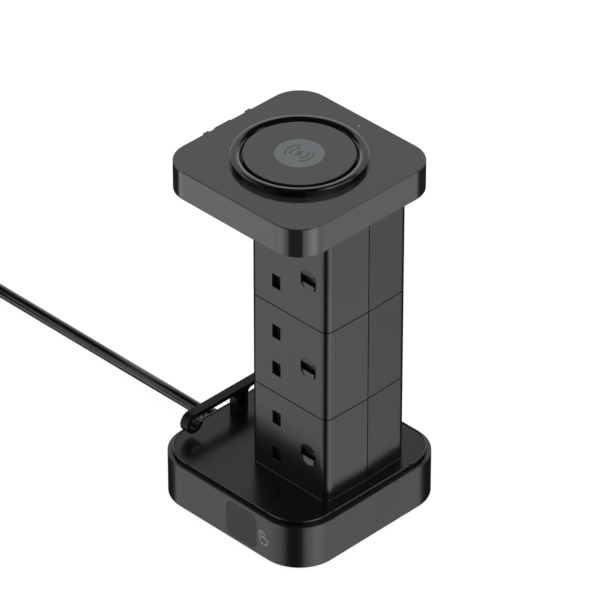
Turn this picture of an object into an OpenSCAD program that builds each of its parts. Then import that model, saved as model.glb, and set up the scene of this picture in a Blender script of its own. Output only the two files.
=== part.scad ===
// Tower power strip: square base with a lit ring and a cable rail, a stack of three
// two-sided socket modules set off centre, and a flat head with a charging pad.
// +Z is up, the origin is on the floor under the middle of the base.
// The sockets face -Y and +Y, the cord leaves the base through its -X wall.

/* [Base] */
// Width of the base across its flat sides
base_w = 107.3; // [104:0.1:112]
// Corner radius of the base wall
base_corner = 22.1; // [21:0.1:24]
// Height of the base wall up to its flat rim
base_h = 24.8; // [24:0.1:28]
// Thickness of the base wall, seen as the width of the rim
base_wall = 2.4; // [2:0.1:2.8]
// Rise of the deck above the rim
deck_rise = 1.9; // [1:0.1:3]
// Thickness of the deck
deck_t = 2.5; // [2:0.1:3]
// Thickness of the smoked ring that stands round the deck
light_ring_t = 0.7; // [0.6:0.1:1]
// Depth that the smoked ring goes on below the rim
light_ring_sink = 4; // [3:0.1:5]
// Length of a clip notch in the top edge of the smoked ring
ring_notch_w = 0.9; // [0.6:0.1:1.2]
// Distance of the clip notches from the middle of each side
ring_notch_at = 27.6; // [24:0.1:29]
// Thickness of the lamp board under the smoked ring
light_board_t = 1; // [0.8:0.1:1.2]
// Thickness of the bottom plate
bottom_t = 3; // [2.8:0.1:3.6]
// Diameter of a rubber foot
foot_d = 12; // [10:0.5:14]
// Depth that a foot is set into the bottom plate
foot_sink = 0.8; // [0.6:0.1:1]
// Height that a foot stands out below the base wall
foot_proud = 0.8; // [0.5:0.1:1.2]
// Distance of the feet and base screws from the base's sides, both ways
foot_in = 17.15; // [16:0.05:20]

/* [Touch panel] */
// Width of the flush touch window
touch_w = 21; // [18:0.5:24]
// Height of the touch window
touch_h = 20.4; // [16:0.1:21]
// Corner radius of the touch window
touch_corner = 4; // [2:0.5:6]
// Thickness of the touch window
touch_t = 1.2; // [0.8:0.1:1.4]
// Middle of the touch window along the wall
touch_x = 12.6; // [0:0.1:16]

/* [Tower] */
// Distance from the stack's parting seam to the base's +X side
tower_gap = 9.6; // [9.2:0.1:16]
// Distance of the parting seam from the base's middle, along Y
seam_y = 3.8; // [0:0.1:5]
// Width of the front socket face between its sharp corners
front_w = 53.4; // [53:0.1:54]
// Width of the stack at the parting seam
seam_w = 54.3; // [54.2:0.1:55]
// Width of the rear socket face between its sharp corners
rear_w = 52.5; // [52.4:0.1:54]
// Depth of the front half of the stack
front_d = 28.6; // [28:0.1:30]
// Depth of the rear half of the stack
rear_d = 28.4; // [28:0.1:30]
// Corner radius of the tower
tower_corner = 4.5; // [3:0.1:5]
// Height of one socket module
module_h = 52.5; // [52:0.1:56]
// Depth that the stack is set into the deck
tower_sink = 3.2; // [2:0.1:4]
// Wall thickness of the module shells
shell_wall = 2.5; // [2:0.1:2.6]
// Height of the dark groove between two modules
seam_gap = 0.55; // [0.3:0.05:0.6]
// Depth of the grooves between the shells
seam_depth = 0.7; // [0.3:0.1:0.8]

/* [Sockets] */
// Distance from the tower's middle to the line of the two power windows
power_at = 8.2; // [7.5:0.1:8.6]
// Distance from the line of the power windows to the earth hole
earth_spacing = 22.2; // [22:0.1:22.4]
// Distance between the two power windows
power_spacing = 22.2; // [22:0.1:22.4]
// Width of a power window
window_w = 5.8; // [5.2:0.1:6.2]
// Height of a power window
window_h = 7.9; // [7.4:0.1:8.2]
// Diameter of the round earth hole
earth_d = 11.8; // [11.2:0.1:12.4]
// Width of the earth hole and its slot between the flat ends
earth_w = 10.4; // [10:0.1:11]
// Height of the earth slot
earth_slot_h = 5; // [4.6:0.1:5.4]
// Depth of the slope that leads up to the slot from below
lead_low = 0.8; // [0.5:0.1:1.4]
// Depth of the slope that leads down to the slot from above
lead_high = 0.4; // [0.2:0.1:1]
// Width of the gap between the slopes and the far end of the hole
lead_gap = 1.8; // [1:0.1:2]
// Depth of that gap
lead_gap_depth = 1.7; // [1.2:0.1:1.8]
// Depth of the shutter behind the face
shutter_depth = 4.1; // [3.8:0.1:4.6]
// Thickness of the shutter plate
shutter_t = 2; // [1.6:0.1:2.2]
// Travel of the shutter when a plug's earth pin pushes it down
shutter_travel = 7.5; // [7.4:0.1:7.8]
// Gap between the shutter plate and the frame that it slides on
shutter_gap = 0.3; // [0.2:0.05:0.4]
// Outer diameter of a shutter spring
spring_d = 2.6; // [2.2:0.1:2.8]
// Thickness of the brass bars
bar_t = 0.8; // [0.6:0.1:1]
// Width of the brass bars
bar_w = 4; // [3:0.1:4.5]
// Diameter of the rods that tie the stack together
rod_d = 3; // [2.5:0.1:3.2]

/* [Head] */
// Width of the head across its flat sides
head_w = 97.6; // [96:0.1:102]
// Corner radius of the head
head_corner = 17; // [16:0.1:19]
// Height of the head
head_h = 16; // [15.8:0.1:18]
// Thickness of the head's side wall
head_wall = 2.4; // [2:0.1:2.6]
// Thickness of the head's top and bottom plates
head_plate = 2.2; // [2:0.1:2.4]
// Height of the neck between the stack and the head
neck_h = 3.4; // [2:0.1:5]
// Size of the small bevel on the head's top edge
head_bevel = 0.4; // [0.2:0.1:0.8]
// How far the guard ribs on the -X side stand out
rib_proud = 0.8; // [0.5:0.1:1]
// Width of a guard rib
rib_w = 3.5; // [3:0.1:4]
// Distance between the middles of the guard ribs
rib_spacing = 28.8; // [28:0.1:30]
// Middle of the guard ribs along the side
rib_mid = -1.4; // [-2:0.1:0]

/* [Charging pad] */
// Outer diameter of the gloss ring
ring_d = 68.3; // [66:0.1:70]
// Height of the ring's crest above the head
ring_h = 3.8; // [3.4:0.1:4.2]
// Radius of the broad round crest
ring_crest = 4.4; // [4.3:0.1:6]
// Distance of the crest's top from the ring's outer edge
crest_in = 1.95; // [1.5:0.05:2.2]
// Diameter of the ring's opening
ring_bore_d = 58.2; // [58:0.1:59]
// Diameter of the pad disc
disc_d = 55.8; // [54:0.1:56.4]
// Height of the pad disc above the head
disc_rise = 3.3; // [2.6:0.1:3.4]
// Diameter of the patch in the middle of the pad
patch_d = 24.8; // [22:0.1:28]
// Thickness of the patch
patch_t = 0.6; // [0.4:0.1:0.8]
// Outer diameter of the charging winding
winding_d = 43; // [40:0.5:46]
// Diameter of the indicator light's hole
pipe_d = 1.2; // [1:0.1:2]
// Distance of the indicator light from the middle
pipe_at = 41.6; // [40:0.1:42.4]

/* [Switch] */
// Middle of the switch along the -X side
switch_y = -4.75; // [-6:0.05:-3]
// Width of the switch's raised bezel
bezel_w = 10.9; // [10.8:0.1:12]
// How far the bezel stands out of the side
bezel_proud = 0.35; // [0.25:0.05:0.5]
// Width of the rocker
rocker_w = 8.1; // [7.6:0.1:8.2]
// Height of the rocker
rocker_len = 8.8; // [8.4:0.1:9]
// Tilt of the rocker each way from its middle
rocker_tilt = 8; // [7:0.5:8]
// Diameter of the rocker's pivot
pivot_d = 2.4; // [2:0.1:2.6]

/* [Cable rail] */
// Length of the rail over its two hooks
rail_len = 78.2; // [74:0.1:82]
// Width of the rail
rail_w = 5.2; // [4.6:0.1:6]
// Thickness of the rail's bar
rail_t = 2.4; // [2:0.1:3]
// Height of the gap between the deck and the bar
rail_rise = 11.9; // [11.6:0.1:14]
// Outer radius of a hook
hook_r = 5.6; // [5.5:0.1:6]
// Thickness of a hook's band
hook_t = 2; // [1.6:0.1:2.1]
// Straight length of a hook's lip
hook_lip = 2.2; // [1:0.1:3]
// Distance from the middle of the rail to the deck's -X edge
rail_in = 5.85; // [5:0.05:7]
// Middle of the rail along Y
rail_y = 0.8; // [0:0.1:2]
// Width of the rail's post
post_w = 8.1; // [7:0.1:9]
// Radius of the fillets between the post and the bar
post_fillet = 3; // [1:0.1:4]
// Width of the pocket in the post
pocket_w = 5; // [4:0.1:5.4]
// Depth of the pocket in the post
pocket_depth = 4; // [2:0.1:4]

/* [Cord] */
// Diameter of the cord
cord_d = 6.5; // [6:0.1:6.5]
// Length of the strain relief outside the wall
relief_len = 21.4; // [20:0.1:30]
// Diameter of the strain relief at the wall
relief_d = 11; // [10.4:0.1:11]
// Diameter of the strain relief at its tip
relief_tip_d = 8.6; // [8:0.1:9.4]
// Thickness of the strap that holds the coil
tie_t = 0.8; // [0.6:0.1:0.9]
// Width of that strap
tie_w = 10; // [6:0.5:12]

/* [Plug] */
// Length of the plug body
plug_len = 46; // [45:0.5:50]
// Width of the plug body
plug_w = 50; // [46:0.5:52]
// Thickness of the plug body
plug_t = 20; // [18.5:0.5:24]
// Length of the live and neutral pins outside the body
power_pin_len = 17.7; // [17.2:0.1:18.2]
// Length of the earth pin outside the body
earth_pin_len = 22.7; // [22.2:0.1:23.2]
// Wide side of a live or neutral pin
power_pin_w = 6.35; // [6.2:0.05:6.5]
// Wide side of the earth pin
earth_pin_w = 7.95; // [7.8:0.05:8.1]
// Thickness of every pin
pin_t = 4; // [3.9:0.05:4.05]

/* [Hidden] */
$fn = 64;

// Clearance between pieces that drop into each other
fit = 0.15;
// Small overlap that makes a cut pass clean through a surface
past = 1;
// Rise of a corner circle over the leaning side lines that it crosses
corner_lap = 0.004;

// Heights
wall_z = foot_proud;
bottom_top = wall_z + bottom_t;
rim_z = wall_z + base_h;
deck_z = rim_z + deck_rise;
deck_under = deck_z - deck_t;
board_top = rim_z - light_ring_sink;
shelf_z = board_top - light_board_t;
shelf_t = 1.8;
stack_z = deck_z - tower_sink;
stack_floor = stack_z - deck_t;
stack_top = stack_z + 3 * module_h;
head_z = stack_top + neck_h;
head_top = head_z + head_h;

// Plans
base_half = base_w / 2;
tower_x = base_half - tower_gap - seam_w / 2;
foot_at = base_half - foot_in;
inner_half = base_half - base_wall;
inner_corner = base_corner - base_wall;
ring_half = inner_half - fit;
ring_corner = inner_corner - fit;
deck_half = ring_half - light_ring_t - fit;
deck_corner = ring_corner - light_ring_t - fit;
deck_skirt = 2;
shelf_w = 3.5;
seat_w = 1.5;
seat_h = 1.5;
face_y = seam_y - front_d;
back_y = seam_y + rear_d;
mid_y = (face_y + back_y) / 2;
head_half = head_w / 2;
head_inner = head_half - head_wall;
head_inner_corner = head_corner - head_wall;

// Screws and posts
screw_d = 3;
screw_head_d = 5.6;
screw_head_h = 1.2;
pilot_d = 2.4;
post_d = 7;
head_screw_at = 36;
screw_bite = 9;
drive_w = 0.9;
drive_len = 3.2;

// Socket frames: pieces between the two faces of a module
frame_t = 2;
frame_y = shutter_depth + shutter_t + shutter_gap + 0.1;
frame_half = min(front_w, seam_w, rear_w) / 2 - shell_wall - 0.4;
frame_h = module_h;
pin_room = 0.6;
slide_w = 31;
slide_x = 3;
slide_top = power_spacing / 2 + shutter_travel + window_h / 2 + 1.4;
slide_bottom = -17.4;
land = 0.1;
cam_low = -2.2;
cam_top = cam_low + shutter_travel;
cam_root = 3;
cam_tip = 0.6;
cam_opening = cam_low - cam_root - shutter_travel - 0.3;
spring_x = 3;
spring_top = -4;
shelf_top = -17;
notch_w = 5.6;
clip_start = frame_y + frame_t + 4.2;
clip_gap = 0.1;
rod_x = 20.2;
rod_y = 8;
rod_room = 0.2;
riser_drop = 8;
live_plane = -3;
neutral_plane = 2.2;
live_riser = -3.2;
neutral_riser = -0.8;
bar_room_w = 24;
bar_room_d = 10;
rib_x = 4;
rib_bar_w = 3.6;

// Boards
board_t = 1.6;
lamp_w = 1.6;
lamp_h = 0.7;
supply_w = 56;
supply_d = 40;
supply_y = -22;
supply_rise = 3;
charger_w = 48;
charger_d = 46;
charger_y = -1;
standoff_d = 6;
standoff_in = 4;

// Charging pad
ring_r = ring_d / 2;
ring_bore = ring_bore_d / 2;
disc_r = disc_d / 2;
disc_t = 1.8;
disc_skirt = 1.8;
spigot_r = ring_bore + 1.9;
spigot_h = head_plate + 1.2;
flange_t = 1;
winding_t = 1.2;
ferrite_t = 1;
board_rest = head_top - spigot_h - flange_t - 2.4;

// Switch
switch_z = head_z + head_h / 2;
rocker_depth = 3.2;
rocker_plane = bezel_proud - 0.15;
pivot_x = -head_half - rocker_plane + rocker_depth;
rocker_side = 0.2;
cheek_t = 1;
window_half = rocker_len / 2 + 0.65;
housing_half = window_half + 0.65;
housing_depth = 12;
pivot_fit = 0.05;

// Cable rail
rail_x = rail_in - deck_half;
rail_z = deck_z + rail_rise;
rail_top = rail_z + rail_t;
hook_z = rail_top - hook_r;
hook_y = rail_len / 2 - hook_r;

// Cord: the route, in points chosen by hand
cord_r = cord_d / 2;
relief_flange_r = cord_r + 2.1;
relief_room = relief_flange_r + 0.85;
exit_y = 3;
exit_z = wall_z + 8.5;
inner_end_x = -38;
drop_from_x = -90;
drop_to_x = -150;
floor_y = 8.7;
climb_from_x = -230;
climb_to_x = -265;
coil_x = -278;
coil_turns = 3;
coil_pitch = 7;
coil_inner_r = 27;
coil_rise = 6.95;
coil_steps = 24;
exit_shift = 7.4;
tail_rise_from = 14;
tail_rise_to = 50;
tail_end = 58;
sleeve_len = 22;
sleeve_d = 11;
sleeve_tip_d = 8.6;
plug_cord_z = 9;
coil_outer_r = coil_inner_r + coil_turns * coil_pitch;
coil_y = floor_y - coil_outer_r;
coil_z = tie_t + cord_r + 0.15;
tail_y = coil_y - coil_outer_r - exit_shift;
plug_x = coil_x + tail_end + sleeve_len;
plug_y = tail_y;
pin_from_edge = 14.4;
clamp_x = 7.75 - inner_half;
clamp_len = 7;
clamp_half = 11;
clamp_screw_at = 7.6;

// Colours
body_black = "#3a3a3b";
dark_black = "#2e2e2f";
gloss_black = "#111112";
patch_grey = "#696d6e";
rubber_black = "#242425";
inner_grey = "#5a5a5c";
brass_tone = "#c8a24a";
steel_tone = "#a9abae";
board_green = "#2f6b45";
copper_tone = "#b0693a";

// A square with round corners, from its half width
module rounded_square(half, corner) {
    square([2 * half, 2 * (half - corner)], center = true);
    square([2 * (half - corner), 2 * half], center = true);
    for (x = [-1, 1], y = [-1, 1])
        translate([x * (half - corner), y * (half - corner)])
            circle(corner);
}

// A rectangle with round corners
module rounded_rect(w, h, corner) {
    square([w, h - 2 * corner], center = true);
    square([w - 2 * corner, h], center = true);
    for (x = [-1, 1], y = [-1, 1])
        translate([x * (w / 2 - corner), y * (h / 2 - corner)])
            circle(corner);
}

// A slab of that plan between two heights
module slab(half, corner, z0, z1) {
    translate([0, 0, z0])
        linear_extrude(z1 - z0)
            rounded_square(half, corner);
}

// A frame of that plan between two heights
module slab_ring(half, corner, wall, z0, z1) {
    difference() {
        slab(half, corner, z0, z1);
        slab(half - wall, corner - wall, z0 - past, z1 + past);
    }
}

// A slab whose top edge is bevelled
module bevelled_slab(half, corner, z0, z1, bevel) {
    core = half - corner;
    slab(half, corner, z0, z1 - bevel);
    for (x = [-core, core], y = [-core, core])
        translate([x, y, z1 - bevel])
            cylinder(h = bevel, r1 = corner, r2 = corner - bevel);
    for (turn = [0, 90])
        rotate([0, 0, turn])
            translate([0, core, z1 - bevel])
                rotate([90, 0, 0])
                    linear_extrude(2 * core)
                        polygon([
                            [-half, 0], [half, 0],
                            [half - bevel, bevel], [bevel - half, bevel]
                        ]);
}

// The same thing at four corners
module at_corners(at) {
    for (x = [-at, at], y = [-at, at])
        translate([x, y, 0])
            children();
}

// A cross-drive screw that points up, its head's underside at height z
module screw_up(z, length) {
    difference() {
        union() {
            translate([0, 0, z - screw_head_h])
                cylinder(h = screw_head_h, d = screw_head_d);
            translate([0, 0, z - 0.01])
                cylinder(h = length, d = pilot_d);
        }
        for (turn = [0, 90])
            rotate([0, 0, turn])
                translate([0, 0, z - screw_head_h])
                    cube([drive_len, drive_w, 1.2], center = true);
    }
}

// Half the plan of the stack, its face on y = 0 and its seam at y = depth
module half_plan(face, seam, depth, corner, inset, over) {
    lean = atan((seam - face) / 2 / depth);
    r = max(corner - inset, 0.6);
    cy = inset + r;
    cx = face / 2 + cy * tan(lean) - inset - r / cos(lean);
    sx = face / 2 + (depth + over) * tan(lean) - inset;
    polygon([
        [-cx, inset], [cx, inset],
        [cx + r * cos(lean), cy - r * sin(lean)],
        [sx, depth + over], [-sx, depth + over],
        [-cx - r * cos(lean), cy - r * sin(lean)]
    ]);
    for (x = [-cx, cx])
        translate([x, cy])
            circle(r + corner_lap);
}

module front_plan(inset, over) {
    translate([tower_x, face_y])
        half_plan(front_w, seam_w, front_d, tower_corner, inset, over);
}

module rear_plan(inset, over) {
    translate([tower_x, back_y])
        rotate(180)
            half_plan(rear_w, seam_w, rear_d, tower_corner, inset, over);
}

module stack_plan(inset) {
    front_plan(inset, 0);
    rear_plan(inset, 0);
}

// Places its children on one socket face: x runs to the right as one looks at
// the face, y goes into it and z is up from the middle of the module
module at_front(level) {
    translate([tower_x, face_y, stack_z + (level + 0.5) * module_h])
        children();
}

module at_rear(level) {
    translate([tower_x, back_y, stack_z + (level + 0.5) * module_h])
        rotate([0, 0, 180])
            children();
}

// The holes of one socket, cut from in front of the face
module socket_cut() {
    earth_x = earth_spacing - power_at;
    for (z = [-1, 1])
        translate([-power_at - window_w / 2, -past, z * power_spacing / 2 - window_h / 2])
            cube([window_w, shell_wall + 2 * past, window_h]);
    // Slot, slopes above and below it, and the gap beside them, in a round hole
    reach = earth_d / 2 + 0.3;
    translate([earth_x, 0, 0])
        intersection() {
            rotate([90, 0, 0])
                translate([0, 0, -shell_wall - past])
                    cylinder(h = shell_wall + 2 * past, d = earth_d);
            union() {
                translate([-earth_w / 2, -past, -earth_slot_h / 2])
                    cube([earth_w, shell_wall + 2 * past, earth_slot_h]);
                translate([earth_w / 2 - lead_gap, -past, -reach])
                    cube([lead_gap, lead_gap_depth + past, 2 * reach]);
                translate([-earth_w / 2, 0, 0])
                    rotate([90, 0, 90])
                        linear_extrude(earth_w)
                            polygon([
                                [-past, -reach], [0, -reach],
                                [lead_low, -earth_slot_h / 2],
                                [lead_high, earth_slot_h / 2],
                                [0, reach], [-past, reach]
                            ]);
            }
        }
}

// Upright grooves at the seam, a little less deep than the ones between modules
module seam_grooves() {
    groove = 0.8 * seam_depth;
    for (side = [-1, 1])
        translate([tower_x + side * seam_w / 2, seam_y, module_h / 2])
            cube([2 * groove, 2 * seam_gap, module_h + past], center = true);
}

module front_shell(level) {
    color(body_black)
        difference() {
            translate([0, 0, stack_z + level * module_h]) {
                translate([0, 0, seam_gap])
                    linear_extrude(module_h - seam_gap)
                        front_plan(0, 0);
                linear_extrude(module_h / 2)
                    front_plan(seam_depth, 0);
            }
            translate([0, 0, stack_z + level * module_h - past])
                linear_extrude(module_h + 2 * past)
                    front_plan(shell_wall, past);
            at_front(level)
                socket_cut();
        }
}

module rear_shell(level) {
    color(body_black)
        difference() {
            translate([0, 0, stack_z + level * module_h]) {
                translate([0, 0, seam_gap])
                    linear_extrude(module_h - seam_gap)
                        rear_plan(0, 0);
                linear_extrude(module_h / 2)
                    rear_plan(seam_depth, 0);
            }
            translate([0, 0, stack_z + level * module_h - past])
                linear_extrude(module_h + 2 * past)
                    rear_plan(shell_wall, past);
            at_rear(level)
                socket_cut();
            translate([0, 0, stack_z + level * module_h])
                seam_grooves();
        }
}

// One wall of a socket frame with its pin windows, guides and spring shelf, and
// the ribs that the brass bars rest on, each as [height, depth of the bar's face]
module frame_wall(half, seats) {
    earth_x = earth_spacing - power_at;
    guide_d = frame_y - shutter_depth;
    difference() {
        translate([-half, frame_y, -frame_h / 2])
            cube([2 * half, frame_t, frame_h]);
        for (z = [-1, 1])
            translate([
                -power_at - pin_t / 2 - pin_room, frame_y - past,
                z * power_spacing / 2 - power_pin_w / 2 - pin_room
            ])
                cube([pin_t + 2 * pin_room, frame_t + 2 * past, power_pin_w + 2 * pin_room]);
        translate([earth_x - earth_pin_w / 2 - 1.4, frame_y - past, cam_opening])
            cube([earth_pin_w + 2.8, frame_t + 2 * past, cam_top + 1 - cam_opening]);
    }
    for (seat = seats)
        translate([rib_x, frame_y + frame_t - 0.1, seat[0] - bar_w / 2])
            cube([rib_bar_w, seat[1] - frame_y - frame_t + 0.1, bar_w]);
    // Guides at the two edges of the shutter
    for (x = [slide_x - slide_w / 2 - 1.3, slide_x + slide_w / 2 + shutter_gap])
        translate([x, shutter_depth, -frame_h / 2])
            cube([1, guide_d + 0.1, frame_h]);
    // Shelf that the spring stands on
    translate([spring_x - notch_w / 2 + 0.4, shutter_depth, shelf_top - 2])
        cube([notch_w - 0.8, guide_d + 0.1, 2]);
}

module socket_frame(level) {
    side_d = back_y - face_y - 2 * frame_y - 2 * frame_t;
    half = frame_half;
    color(inner_grey)
        difference() {
            union() {
                at_front(level)
                    frame_wall(half, [
                        [-power_spacing / 2, mid_y - face_y + live_plane],
                        [power_spacing / 2, mid_y - face_y + neutral_plane],
                        [0, mid_y - face_y - bar_t / 2]
                    ]);
                at_rear(level)
                    frame_wall(half, [
                        [-power_spacing / 2, back_y - mid_y - live_plane - bar_t],
                        [power_spacing / 2, back_y - mid_y - neutral_plane - bar_t],
                        [0, back_y - mid_y - bar_t / 2]
                    ]);
                at_front(level)
                    for (side = [-1, 1], z = [-1, 1]) {
                        translate([
                            side > 0 ? half - frame_t : -half,
                            frame_y + frame_t / 2, -frame_h / 2
                        ])
                            cube([frame_t, side_d + frame_t, frame_h]);
                        translate([
                            side > 0 ? rod_x - 2.6 : -half,
                            frame_y + frame_t / 2,
                            z > 0 ? frame_h / 2 - frame_t : -frame_h / 2
                        ])
                            cube([half - rod_x + 2.6, side_d + frame_t, frame_t]);
                    }
            }
            for (x = [-rod_x, rod_x], y = [-rod_y, rod_y])
                translate([tower_x + x, mid_y + y, stack_z + level * module_h - past])
                    cylinder(h = module_h + 2 * past, d = rod_d + 2 * rod_room);
        }
}

// A shutter: plate with two power windows, a spring notch and a sloping cam
module shutter() {
    earth_x = earth_spacing - power_at;
    cam_w = earth_pin_w + 1.6;
    color(dark_black)
        union() {
            difference() {
                translate([slide_x - slide_w / 2, shutter_depth, slide_bottom])
                    cube([slide_w, shutter_t, slide_top - slide_bottom]);
                for (z = [-1, 1])
                    translate([
                        -power_at - pin_t / 2 - pin_room, shutter_depth - past,
                        z * power_spacing / 2 + shutter_travel
                            - min(window_h, shutter_travel) / 2 + land
                    ])
                        cube([
                            pin_t + 2 * pin_room, shutter_t + 2 * past,
                            power_pin_w + pin_room
                        ]);
                translate([earth_x - cam_w / 2, shutter_depth - past, cam_low])
                    cube([cam_w, shutter_t + 2 * past, cam_top - cam_low + 5]);
                translate([spring_x - notch_w / 2, shutter_depth - past, slide_bottom - past])
                    cube([notch_w, shutter_t + 2 * past, spring_top - slide_bottom + past]);
            }
            translate([earth_x - cam_w / 2, shutter_depth, cam_low])
                rotate([90, 0, 90])
                    linear_extrude(cam_w)
                        polygon([
                            [0, 0], [0, -cam_root], [shutter_t, -cam_root],
                            [shutter_travel + cam_tip, shutter_travel - 1.8],
                            [shutter_travel + cam_tip, shutter_travel],
                            [shutter_travel, shutter_travel]
                        ]);
        }
}

// A shutter spring, drawn as the sleeve that its turns fill
module spring() {
    color(steel_tone)
        translate([spring_x, shutter_depth + shutter_t / 2, shelf_top])
            difference() {
                cylinder(h = spring_top - shelf_top, d = spring_d);
                translate([0, 0, -past])
                    cylinder(h = spring_top - shelf_top + 2 * past, d = spring_d - 0.8);
            }
}

// Two leaves that grip a pin, from the clip's start back to the bar's plane
module clip(across, gap, height, reach) {
    for (side = [-1, 1])
        translate([
            across + side * (gap / 2 + bar_t / 2) - bar_t / 2,
            clip_start, -height / 2
        ])
            cube([bar_t, reach - clip_start, height]);
}

// Power bar: riser, one cross strip per module and a clip for each face
module power_bar(z, plane, riser_x) {
    color(brass_tone) {
        translate([tower_x + riser_x, mid_y + plane, stack_floor - riser_drop])
            cube([
                bar_w, bar_t,
                stack_top - module_h / 2 + z + bar_w / 2 - stack_floor + riser_drop
            ]);
        for (level = [0, 1, 2]) {
            at_front(level)
                translate([-power_at - pin_t / 2 - bar_t, mid_y - face_y + plane, z - bar_w / 2])
                    cube([2 * power_at + pin_t + 2 * bar_t, bar_t, bar_w]);
            at_front(level)
                translate([0, 0, z])
                    clip(-power_at, pin_t - clip_gap, bar_w, mid_y - face_y + plane + bar_t / 2);
            at_rear(level)
                translate([0, 0, z])
                    clip(-power_at, pin_t - clip_gap, bar_w, back_y - mid_y - plane - bar_t / 2);
        }
    }
}

module live_bar() {
    power_bar(-power_spacing / 2, live_plane, live_riser);
}

module neutral_bar() {
    power_bar(power_spacing / 2, neutral_plane, neutral_riser);
}

// Earth bar: riser, cross strips and flat leaves above and below each pin
module earth_bar() {
    earth_x = earth_spacing - power_at;
    leaf_w = earth_pin_w - 1;
    color(brass_tone) {
        translate([tower_x - bar_w / 2, mid_y - bar_t / 2, stack_floor - riser_drop])
            cube([bar_w, bar_t, stack_top - module_h / 2 - stack_floor + riser_drop]);
        for (level = [0, 1, 2]) {
            at_front(level)
                translate([
                    -earth_x - leaf_w / 2, mid_y - face_y - bar_t / 2,
                    -(pin_t - clip_gap) / 2 - bar_t
                ])
                    cube([2 * earth_x + leaf_w, bar_t, pin_t - clip_gap + 2 * bar_t]);
            at_front(level)
                earth_clip(earth_x, leaf_w, mid_y - face_y);
            at_rear(level)
                earth_clip(earth_x, leaf_w, back_y - mid_y);
        }
    }
}

module earth_clip(across, leaf_w, reach) {
    for (side = [-1, 1])
        translate([
            across - leaf_w / 2, clip_start,
            side * ((pin_t - clip_gap) / 2 + bar_t / 2) - bar_t / 2
        ])
            cube([leaf_w, reach - clip_start, bar_t]);
}

module tower_rods() {
    color(steel_tone)
        for (x = [-rod_x, rod_x], y = [-rod_y, rod_y])
            translate([tower_x + x, mid_y + y, 0])
                difference() {
                    union() {
                        translate([0, 0, stack_floor - 2])
                            cylinder(h = 2, d = rod_d + 2.6);
                        translate([0, 0, stack_floor - 1])
                            cylinder(h = head_z + head_plate + 4 - stack_floor, d = rod_d);
                    }
                    for (turn = [0, 90])
                        translate([0, 0, stack_floor - 2])
                            rotate([0, 0, turn])
                                cube([drive_len, drive_w, 1.2], center = true);
                }
}

module base_shell() {
    color(body_black)
        difference() {
            union() {
                difference() {
                    bevelled_slab(base_half, base_corner, wall_z, rim_z, 0.3);
                    slab(inner_half, inner_corner, wall_z - past, rim_z + past);
                }
                slab_ring(
                    inner_half + 0.2, inner_corner + 0.2, shelf_w + 0.2,
                    shelf_z - shelf_t, shelf_z
                );
                slab_ring(
                    inner_half + 0.2, inner_corner + 0.2, seat_w + 0.2,
                    bottom_top, bottom_top + seat_h
                );
            }
            // Pocket for the touch window
            translate([touch_x, touch_t - base_half, wall_z + base_h / 2 - 0.1])
                rotate([90, 0, 0])
                    linear_extrude(touch_t + past)
                        rounded_rect(touch_w, touch_h, touch_corner);
            // Hole for the cord's strain relief, and room for its inner flange
            translate([-base_half - past, exit_y, exit_z])
                rotate([0, 90, 0])
                    cylinder(h = base_wall + 2 * past, r = cord_r + 1);
            translate([-inner_half, exit_y - relief_room, bottom_top - past])
                cube([seat_w + past, 2 * relief_room, seat_h + 2 * past]);
        }
}

// The four standoffs of the supply board
module supply_corners() {
    across = supply_w / 2 - standoff_in;
    along = supply_d / 2 - standoff_in;
    for (x = [-across, across], y = [supply_y - along, supply_y + along])
        translate([x, y, 0])
            children();
}

module base_bottom() {
    color(dark_black)
        difference() {
            union() {
                slab(inner_half - fit, inner_corner - fit, wall_z, bottom_top);
                // Cradle under the cord
                translate([clamp_x - clamp_len / 2, exit_y - clamp_half, bottom_top - 0.1])
                    cube([clamp_len, 2 * clamp_half, exit_z - bottom_top + 0.1]);
                supply_corners()
                    translate([0, 0, bottom_top - 0.1])
                        cylinder(h = supply_rise + 0.1, d = standoff_d);
            }
            at_corners(foot_at) {
                translate([0, 0, wall_z - past])
                    cylinder(h = foot_sink + past, d = foot_d + 2 * fit);
                translate([0, 0, wall_z])
                    cylinder(h = foot_sink + screw_head_h, d = screw_head_d + 0.4);
                translate([0, 0, wall_z])
                    cylinder(h = bottom_t + past, d = screw_d + 0.2);
            }
            translate([clamp_x - clamp_len / 2 - past, exit_y, exit_z])
                rotate([0, 90, 0])
                    cylinder(h = clamp_len + 2 * past, r = cord_r);
            for (y = [-1, 1])
                translate([clamp_x, exit_y + y * clamp_screw_at, exit_z - 4])
                    cylinder(h = 4 + past, d = pilot_d);
        }
}

module base_feet() {
    color(rubber_black)
        at_corners(foot_at)
            cylinder(h = foot_proud + foot_sink, d = foot_d);
}

module base_screws() {
    color(steel_tone)
        at_corners(foot_at)
            screw_up(
                wall_z + foot_sink + screw_head_h,
                bottom_t - foot_sink - screw_head_h + screw_bite
            );
}

module light_ring() {
    notch_h = 0.9;
    color(gloss_black)
        difference() {
            bevelled_slab(ring_half, ring_corner, board_top, deck_z, 0.3);
            slab(
                ring_half - light_ring_t, ring_corner - light_ring_t,
                board_top - past, deck_z + past
            );
            for (turn = [0, 90, 180, 270], side = [-1, 1])
                rotate([0, 0, turn])
                    translate([side * ring_notch_at, ring_half, deck_z])
                        cube([ring_notch_w, 4 * light_ring_t, 2 * notch_h], center = true);
        }
}

// The places of the lamps, five along each side of the lamp board
module lamp_places() {
    for (turn = [0, 90, 180, 270], along = [-20, -10, 0, 10, 20])
        rotate([0, 0, turn])
            translate([along, 0, board_top])
                children();
}

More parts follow.
